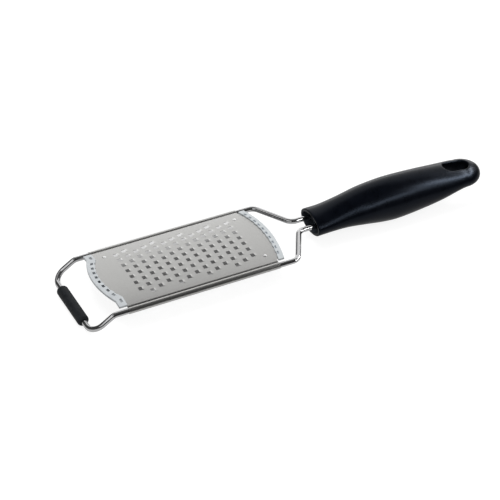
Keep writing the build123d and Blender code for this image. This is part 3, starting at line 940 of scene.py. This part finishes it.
def makeFinish(name):
    finish = finishes[name]
    material = bpy.data.materials.new(name)
    material.use_nodes = True
    tree = material.node_tree
    shader = tree.nodes["Principled BSDF"]
    texture = addNode(tree, "ShaderNodeGroup", node_tree=groups[finish["group"]])
    for label, value in finish["values"].items():
        texture.inputs[label].default_value = value
    mask = texture.outputs["Patch" if finish["group"] == "grain" else "Lines"]
    ramp = addNode(tree, "ShaderNodeValToRGB")
    ramp.color_ramp.elements[0].position = 0.35
    ramp.color_ramp.elements[1].position = 0.65
    ramp.color_ramp.elements[0].color = (*finish["dark"], 1)
    ramp.color_ramp.elements[1].color = (*finish["light"], 1)
    tree.links.new(mask, ramp.inputs["Fac"])
    color = ramp.outputs["Color"]
    if "mask" in finish:
        label, masked = finish["mask"]
        mask = addNode(tree, "ShaderNodeAttribute", attribute_name=label)
        blend = addNode(tree, "ShaderNodeMix", data_type="RGBA")
        tree.links.new(mask.outputs["Fac"], blend.inputs[0])
        tree.links.new(color, blend.inputs[6])
        blend.inputs[7].default_value = (*masked, 1)
        color = blend.outputs[2]
    tree.links.new(color, shader.inputs["Base Color"])
    tree.links.new(texture.outputs["Roughness"], shader.inputs["Roughness"])
    bump = addNode(tree, "ShaderNodeBump")
    bump.inputs["Strength"].default_value = 1.0
    bump.inputs["Distance"].default_value = finish["bump"]
    tree.links.new(texture.outputs["Height"], bump.inputs["Height"])
    tree.links.new(bump.outputs["Normal"], shader.inputs["Normal"])
    for label, value in finish["sockets"].items():
        shader.inputs[label].default_value = value
    return material


def dress(piece, name):
    piece.data.materials.clear()
    piece.data.materials.append(makeFinish(name))


dress(buildBlade(), "bladeSteel")
dress(buildWire(), "wireSteel")
dress(buildGuard(guards["front"]), "iceGuard")
dress(buildGuard(guards["rear"]), "iceGuardRear")
dress(buildSleeve(), "footRubber")
dress(buildHandle(), "gripPlastic")
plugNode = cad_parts["handle_plug"]
dress(plugNode, "plugPlastic")
print("pieces done")

studio = {
    "floorSize": 3.0,
    "floorGap": 0.0002,
    "cardHeight": 0.0004,
    "cardGrid": (73, 13),
    "floorGlow": 0.85,
    "floorColor": 0.3,
    "floorInMetal": 0.45,
    # painted shadow patch on the floor under the blade: its edges, skew and depth
    "shadeX": ((-0.130, -0.116), (-0.002, -0.016)),
    "shadeY": ((-0.014, -0.004), (0.067, 0.019)),
    "shadeSkew": 0.03,
    "shadeDepth": 0.97,
    "worldOnObject": 0.58,
    "cameraSpot": (-0.5101, -0.9676, 0.8042),
    "right": (0.89379, -0.44848, 0.0),
    "up": (0.26603, 0.53018, 0.80508),
    "back": (-0.36106, -0.71957, 0.59318),
    "lens": 135.02,
    "sensor": 36.0,
}

lamps = [
    {
        "name": "overheadPanel",
        "spot": (-0.20, 0.35, 1.60),
        "aim": (-0.03, 0, 0.01),
        "size": (0.8, 0.8),
        "power": 8.0,
    },
    {
        "name": "frontPanel",
        "spot": (0.75, -0.82, 0.77),
        "aim": (0.08, 0, 0.02),
        "size": (0.8, 0.28),
        "power": 3.0,
    },
]

# cards that only reflections see: patches of a sphere in degrees round and up, strips, or flat ones
cards = [
    {"name": "overheadCard", "radius": 1.45, "round": (-180, 180), "up": (58, 89.9), "shade": 0.12},
    {"name": "nearCard", "radius": 1.50, "round": (-120, 5), "up": (0.2, 58), "shade": 0.04},
    {"name": "nearLeftCard", "radius": 1.50, "round": (-170, -120), "up": (0.2, 31), "shade": 0.05},
    {"name": "leftCard", "radius": 1.50, "round": (90, 190), "up": (0.2, 47), "shade": 0.07},
    {"name": "rightCard", "radius": 1.50, "round": (5, 35), "up": (0.2, 14), "shade": 0.07},
    {"name": "farStrip", "radius": 1.50, "round": (35, 88), "up": (0.2, 13), "shade": 2.0},
    {"name": "tableCard", "flat": ((-0.14, 0.45), (-1.3, -0.078)), "shade": 0.05},
    {
        "name": "tailStrip",
        "radius": 0.125,
        "path": [(-49, 31), (-39, 38), (0, 30), (18, 28)],
        "halfWidth": 4.5,
        "shade": 25.0,
        "middle": (0.11, -0.01, 0.03),
    },
    {
        "name": "neckStrip",
        "radius": 0.125,
        "path": [(-119, 40), (-95, 17), (-56, 25), (-49, 31)],
        "halfWidth": 5.0,
        "shade": 9.0,
        "middle": (0.11, -0.01, 0.03),
    },
]


def softEdge(tree, value, outside, inside):
    # 0 outside and 1 inside, with a smooth rise between the two places
    step = addNode(tree, "ShaderNodeMapRange", interpolation_type="SMOOTHSTEP")
    tree.links.new(value, step.inputs["Value"])
    step.inputs["From Min"].default_value = outside
    step.inputs["From Max"].default_value = inside
    return step.outputs["Result"]


def buildFloor():
    half = studio["floorSize"] / 2
    mesh = bpy.data.meshes.new("floor")
    corners = [(-half, -half, 0), (half, -half, 0), (half, half, 0), (-half, half, 0)]
    mesh.from_pydata(corners, [], [(0, 1, 2, 3)])
    floor = addToScene("floor", mesh)
    floor.location.z = cadBox[0][2] - studio["floorGap"]
    material = bpy.data.materials.new("paleFloor")
    material.use_nodes = True
    tree = material.node_tree
    tree.nodes.clear()
    out = addNode(tree, "ShaderNodeOutputMaterial")
    path = addNode(tree, "ShaderNodeLightPath")
    spot = addNode(tree, "ShaderNodeNewGeometry")
    split = addNode(tree, "ShaderNodeSeparateXYZ")
    tree.links.new(spot.outputs["Position"], split.inputs[0])
    # a painted shadow patch: the floor's glow is cut by position under the blade; as if a low front light
    # reached in under it, the shade lies toward the far side
    skew = mathNode(tree, "MULTIPLY", split.outputs["X"], studio["shadeSkew"])
    across = mathNode(tree, "ADD", split.outputs["Y"], skew)
    shade = studio["shadeDepth"]
    for value, edges in ((split.outputs["X"], studio["shadeX"]), (across, studio["shadeY"])):
        for outside, inside in edges:
            shade = mathNode(tree, "MULTIPLY", softEdge(tree, value, outside, inside), shade)
    lit = mathNode(tree, "SUBTRACT", 1.0, shade)
    seen = mathNode(tree, "MULTIPLY", path.outputs["Is Camera Ray"], studio["floorGlow"])
    mirrored = mathNode(tree, "MAXIMUM", path.outputs["Is Glossy Ray"], path.outputs["Is Transmission Ray"])
    shown = mathNode(tree, "ADD", seen, mathNode(tree, "MULTIPLY", mirrored, studio["floorInMetal"]))
    glow = addNode(tree, "ShaderNodeEmission")
    tree.links.new(mathNode(tree, "MULTIPLY", shown, lit), glow.inputs["Strength"])
    diffuse = addNode(tree, "ShaderNodeBsdfDiffuse")
    diffuse.inputs["Color"].default_value = (studio["floorColor"],) * 3 + (1,)
    both = addNode(tree, "ShaderNodeAddShader")
    tree.links.new(glow.outputs[0], both.inputs[0])
    tree.links.new(diffuse.outputs[0], both.inputs[1])
    tree.links.new(both.outputs[0], out.inputs["Surface"])
    mesh.materials.append(material)


def buildWorld():
    # white to the camera and in reflections, a plain soft light on everything else
    world = bpy.data.worlds.new("studioWorld")
    bpy.context.scene.world = world
    world.use_nodes = True
    tree = world.node_tree
    tree.nodes.clear()
    out = addNode(tree, "ShaderNodeOutputWorld")
    path = addNode(tree, "ShaderNodeLightPath")
    light = addNode(tree, "ShaderNodeBackground")
    light.inputs["Color"].default_value = (1, 1, 1, 1)
    light.inputs["Strength"].default_value = studio["worldOnObject"]
    white = addNode(tree, "ShaderNodeBackground")
    white.inputs["Color"].default_value = (1, 1, 1, 1)
    mix = addNode(tree, "ShaderNodeMixShader")
    mirrored = mathNode(tree, "MAXIMUM", path.outputs["Is Glossy Ray"], path.outputs["Is Transmission Ray"])
    tree.links.new(mathNode(tree, "MAXIMUM", path.outputs["Is Camera Ray"], mirrored), mix.inputs["Fac"])
    tree.links.new(light.outputs[0], mix.inputs[1])
    tree.links.new(white.outputs[0], mix.inputs[2])
    tree.links.new(mix.outputs[0], out.inputs["Surface"])


def roundCard(card):
    # a patch of a sphere round the stage: direction round and angle up, worked out as one grid
    # a strip has a path instead: its angle up changes along the turns
    wide, tall = studio["cardGrid"]
    if "path" in card:
        turns, heights = np.array(card["path"]).T
        around = np.linspace(turns[0], turns[-1], wide)[:, None]
        up = np.interp(around, turns, heights) + card["halfWidth"] * np.linspace(-1, 1, tall)[None, :]
    else:
        around, up = np.linspace(*card["round"], wide)[:, None], np.linspace(*card["up"], tall)[None, :]
    around, up = np.radians(around), np.radians(up)
    points = card["radius"] * np.stack(
        [np.cos(around) * np.cos(up), np.sin(around) * np.cos(up), np.sin(up) + 0 * around],
        axis=-1,
    )
    return points + np.array(card.get("middle", (0.0, 0.0, 0.0)))


def flatCard(card):
    # a rectangle just above the floor, as one grid of two rows
    (left, right), (near, far) = card["flat"]
    x, y = np.meshgrid([left, right], [near, far], indexing="ij")
    return np.stack([x, y, 0 * x + studio["cardHeight"]], axis=-1)


def buildCard(card):
    points = flatCard(card) if "flat" in card else roundCard(card)
    mesh = bpy.data.meshes.new(card["name"])
    faces = gridQuads(np.arange(points[..., 0].size).reshape(points.shape[:2]))
    mesh.from_pydata(points.reshape(-1, 3).tolist(), [], faces.tolist())
    band = addToScene(card["name"], mesh)
    material = bpy.data.materials.new(card["name"] + "Cloth")
    material.use_nodes = True
    tree = material.node_tree
    tree.nodes.clear()
    glow = addNode(tree, "ShaderNodeEmission")
    glow.inputs["Strength"].default_value = card["shade"]
    out = addNode(tree, "ShaderNodeOutputMaterial")
    tree.links.new(glow.outputs[0], out.inputs["Surface"])
    mesh.materials.append(material)
    band.visible_camera = False
    band.visible_diffuse = False
    band.visible_transmission = False
    band.visible_shadow = False


def buildLamps():
    for lamp in lamps:
        data = bpy.data.lights.new(lamp["name"], "AREA")
        data.shape = "RECTANGLE"
        data.size, data.size_y = lamp["size"]
        data.energy = lamp["power"]
        light = addToScene(lamp["name"], data)
        light.visible_glossy = False  # reflections see the cards instead
        light.location = lamp["spot"]
        toward = Vector(lamp["aim"]) - Vector(lamp["spot"])
        light.rotation_euler = toward.to_track_quat("-Z", "Y").to_euler()


def buildCamera():
    data = bpy.data.cameras.new("photoCamera")
    data.lens = studio["lens"]
    data.sensor_width = studio["sensor"]
    data.clip_start, data.clip_end = 0.01, 20.0
    camera = addToScene("photoCamera", data)
    turn = Matrix((studio["right"], studio["up"], studio["back"])).transposed().to_4x4()
    turn.translation = Vector(studio["cameraSpot"])
    camera.matrix_world = turn
    bpy.context.scene.camera = camera


for card in cards:
    buildCard(card)
buildFloor()
buildWorld()
buildLamps()
buildCamera()
bpy.context.scene.view_settings.view_transform = "Standard"
print("studio done")
